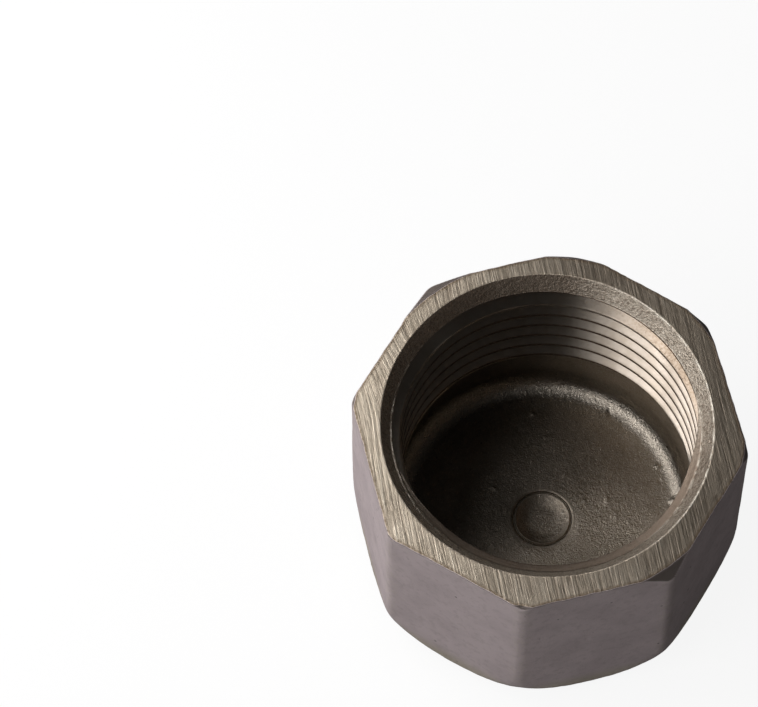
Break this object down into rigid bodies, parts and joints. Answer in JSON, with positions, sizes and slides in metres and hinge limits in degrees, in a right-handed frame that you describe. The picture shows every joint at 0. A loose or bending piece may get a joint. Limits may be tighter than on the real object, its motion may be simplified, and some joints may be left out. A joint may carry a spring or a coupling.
{
  "type": "pipe cap",
  "caption": "Octagonal cast steel pipe cap with a blind, internally threaded bore; screws over a pipe end to close it.",
  "frame": {"origin": "centre of the closed end's resting plane, on the thread axis", "axes": "+Z along the thread axis, out of the open mouth; +X and +Y square to two pairs of wrench flats"},
  "size_m": [0.0376, 0.0376, 0.0255],
  "materials": {
    "cap_steel": "cast stainless steel, shot-blasted outside; mouth face linished, countersink and thread machined bright"
  },
  "bodies": {
    "root": {"cap_body": "cap_steel"}
  },
  "joints": []
}
